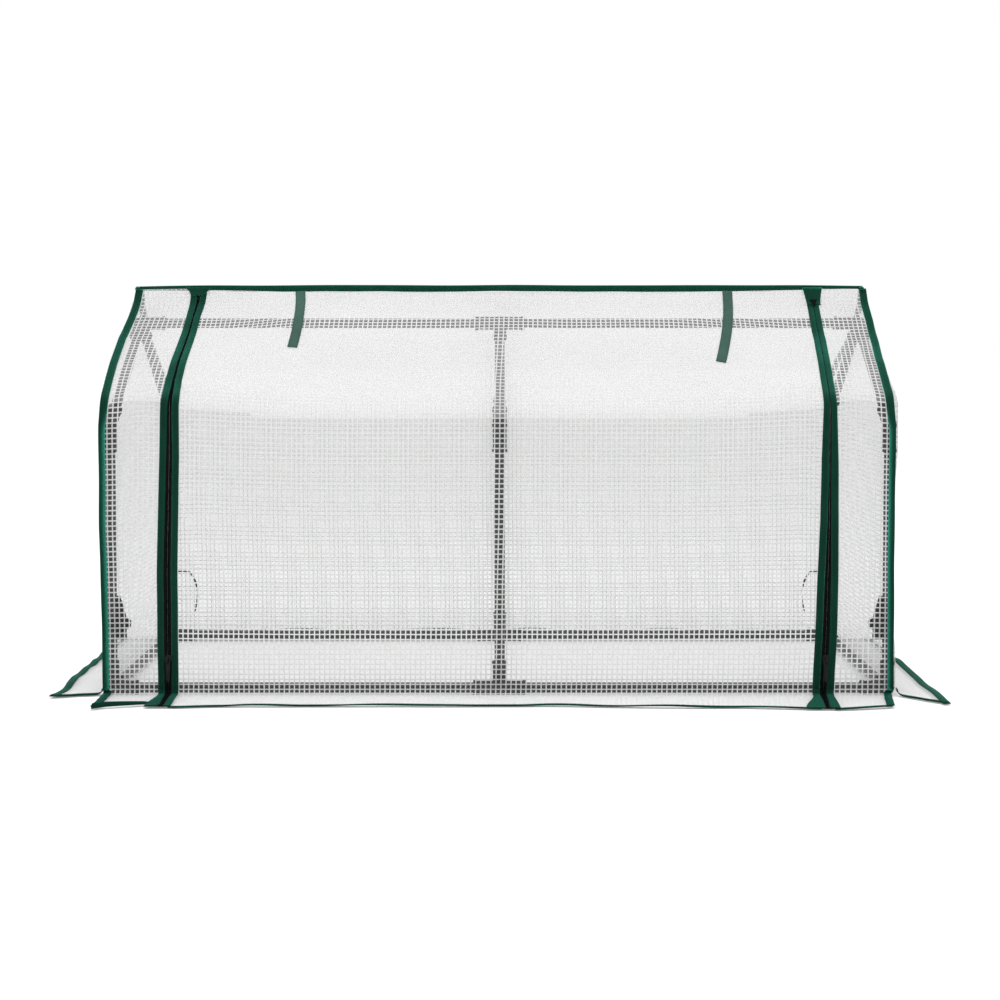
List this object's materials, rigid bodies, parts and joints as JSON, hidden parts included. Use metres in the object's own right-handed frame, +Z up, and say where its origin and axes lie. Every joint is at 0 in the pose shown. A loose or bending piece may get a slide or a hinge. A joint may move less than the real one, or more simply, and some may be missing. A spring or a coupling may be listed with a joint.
{
  "type": "mini greenhouse",
  "caption": "Low house-shaped greenhouse: push-fit tube frame under a reinforced mesh cover with a zipped lift-up front and ground flaps.",
  "frame": {"origin": "on the ground, under the middle of the greenhouse", "axes": "+X along the ridge to the right, +Y to the rear, +Z up; the zipped front faces -Y"},
  "size_m": [1.3856, 0.6356, 0.638],
  "materials": {
    "frame_tube": "thin steel tube with near-black semi-gloss coating",
    "connector": "black moulded plastic, faintly grained",
    "cover_mesh": "clear film over a white square grid of threads",
    "binding": "dark green woven tape, folded and stitched",
    "zip_chain": "black woven tape with a nylon coil",
    "zip_hardware": "black lacquered die casting",
    "tie_tape": "black woven tape"
  },
  "bodies": {
    "root": {"rail_front_left": "frame_tube", "rail_front_right": "frame_tube", "rail_rear_left": "frame_tube", "rail_rear_right": "frame_tube", "rail_end_left": "frame_tube", "rail_end_right": "frame_tube", "post_front_left": "frame_tube", "post_front_centre": "frame_tube", "post_front_right": "frame_tube", "post_rear_left": "frame_tube", "post_rear_centre": "frame_tube", "post_rear_right": "frame_tube", "rafter_front_left": "frame_tube", "rafter_front_centre": "frame_tube", "rafter_front_right": "frame_tube", "rafter_rear_left": "frame_tube", "rafter_rear_centre": "frame_tube", "rafter_rear_right": "frame_tube", "ridge_bar_left": "frame_tube", "ridge_bar_right": "frame_tube", "corner_front_left": "connector", "corner_front_right": "connector", "corner_rear_left": "connector", "corner_rear_right": "connector", "bottom_tee_front": "connector", "bottom_tee_rear": "connector", "eave_elbow_front_left": "connector", "eave_elbow_front_centre": "connector", "eave_elbow_front_right": "connector", "eave_elbow_rear_left": "connector", "eave_elbow_rear_centre": "connector", "eave_elbow_rear_right": "connector", "ridge_tee_left": "connector", "ridge_tee_right": "connector", "ridge_cross": "connector", "front_strip_left": "cover_mesh", "front_strip_right": "cover_mesh", "rear_roof": "cover_mesh", "rear_wall": "cover_mesh", "end_panel_left": "cover_mesh", "end_panel_right": "cover_mesh", "ridge_binding": "binding", "zip_left": "zip_chain", "zip_right": "zip_chain", "post_tie_left": "tie_tape", "post_tie_right": "tie_tape"},
    "door_upper": {"door_upper": "cover_mesh"},
    "door_lower": {"door_lower": "cover_mesh"},
    "door_flap": {"door_flap": "cover_mesh"},
    "tie_strap_left": {"tie_strap_left": "binding"},
    "tie_strap_right": {"tie_strap_right": "binding"},
    "zip_slider_left": {"zip_slider_left": "zip_hardware"},
    "zip_slider_right": {"zip_slider_right": "zip_hardware"},
    "zip_pull_left": {"zip_pull_left": "zip_hardware"},
    "zip_pull_right": {"zip_pull_right": "zip_hardware"},
    "front_flap_left": {"front_flap_left": "cover_mesh"},
    "front_flap_right": {"front_flap_right": "cover_mesh"},
    "end_flap_left": {"end_flap_left": "cover_mesh"},
    "end_flap_right": {"end_flap_right": "cover_mesh"},
    "rear_flap": {"rear_flap": "cover_mesh"}
  },
  "joints": [
    {"name": "door_lift", "type": "hinge", "parent": "root", "child": "door_upper", "pos_m": [0, -0.004, 0.62336], "axis": [-1, 0, 0], "range_deg": [0, 75]},
    {"name": "door_fold", "type": "hinge", "parent": "door_upper", "child": "door_lower", "pos_m": [0, -0.23785, 0.44], "axis": [-1, 0, 0], "range_deg": [0, 150]},
    {"name": "door_flap_turn", "type": "hinge", "parent": "door_lower", "child": "door_flap", "pos_m": [0, -0.2398, 0.002], "axis": [-1, 0, 0], "range_deg": [0, 88]},
    {"name": "tie_strap_left_turn", "type": "hinge", "parent": "door_upper", "child": "tie_strap_left", "pos_m": [-0.328, -0.004, 0.62556], "axis": [-1, 0, 0], "range_deg": [0, 45]},
    {"name": "tie_strap_right_turn", "type": "hinge", "parent": "door_upper", "child": "tie_strap_right", "pos_m": [0.365, -0.004, 0.62556], "axis": [-1, 0, 0], "range_deg": [0, 45]},
    {"name": "zip_left_run", "type": "slide", "parent": "root", "child": "zip_slider_left", "axis": [0, 0, 1], "range_m": [0, 0.36]},
    {"name": "zip_right_run", "type": "slide", "parent": "root", "child": "zip_slider_right", "axis": [0, 0, 1], "range_m": [0, 0.36]},
    {"name": "zip_pull_left_swing", "type": "hinge", "parent": "zip_slider_left", "child": "zip_pull_left", "pos_m": [-0.51, -0.2439, 0.055], "axis": [-1, 0, 0], "range_deg": [0, 150]},
    {"name": "zip_pull_right_swing", "type": "hinge", "parent": "zip_slider_right", "child": "zip_pull_right", "pos_m": [0.5015, -0.2439, 0.055], "axis": [-1, 0, 0], "range_deg": [0, 150]},
    {"name": "front_flap_left_turn", "type": "hinge", "parent": "root", "child": "front_flap_left", "pos_m": [-0.561, -0.2398, 0.002], "axis": [-1, 0, 0], "range_deg": [0, 70]},
    {"name": "front_flap_right_turn", "type": "hinge", "parent": "root", "child": "front_flap_right", "pos_m": [0.561, -0.2398, 0.002], "axis": [-1, 0, 0], "range_deg": [0, 70]},
    {"name": "end_flap_left_turn", "type": "hinge", "parent": "root", "child": "end_flap_left", "pos_m": [-0.6148, 0, 0.002], "axis": [0, 1, 0], "range_deg": [0, 88]},
    {"name": "end_flap_right_turn", "type": "hinge", "parent": "root", "child": "end_flap_right", "pos_m": [0.6148, 0, 0.002], "axis": [0, -1, 0], "range_deg": [0, 88]},
    {"name": "rear_flap_turn", "type": "hinge", "parent": "root", "child": "rear_flap", "pos_m": [0, 0.2398, 0.002], "axis": [1, 0, 0], "range_deg": [0, 88]}
  ]
}
